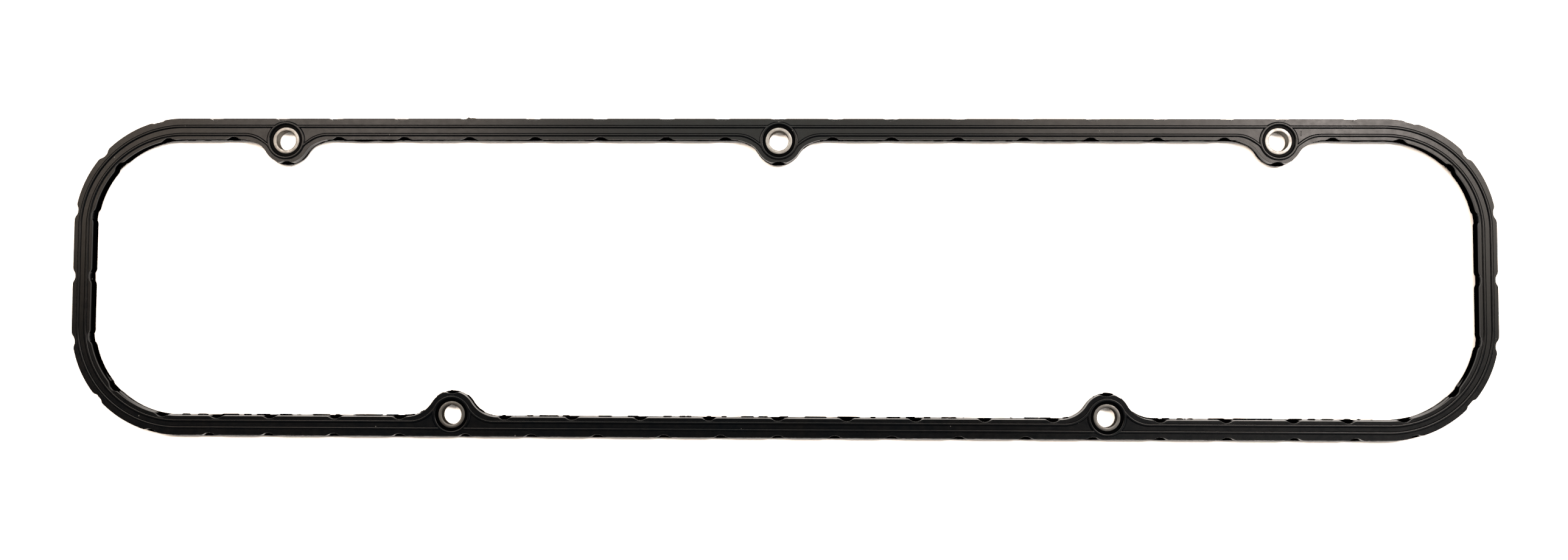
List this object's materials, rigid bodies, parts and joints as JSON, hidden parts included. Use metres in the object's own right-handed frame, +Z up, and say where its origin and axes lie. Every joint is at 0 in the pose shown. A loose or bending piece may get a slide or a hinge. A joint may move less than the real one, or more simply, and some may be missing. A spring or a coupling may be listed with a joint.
{
  "type": "valve cover gasket",
  "caption": "Long rounded rectangular moulded rubber gasket frame with raised sealing beads, notched edges and steel-sleeved bolt bosses on its inner edge.",
  "frame": {"origin": "centre of the gasket's outline, on the plane that it lies on", "axes": "+X along the gasket, +Y towards the rail with three bolts, +Z up, out of the face that meets the cover"},
  "size_m": [0.5094, 0.115, 0.0057],
  "materials": {
    "rubber": "satin moulded rubber",
    "steel": "satin turned steel"
  },
  "bodies": {
    "root": {"rubber_gasket": "rubber", "sleeve_lower_left": "steel", "sleeve_lower_right": "steel", "sleeve_upper_left": "steel", "sleeve_upper_centre": "steel", "sleeve_upper_right": "steel"}
  },
  "joints": []
}
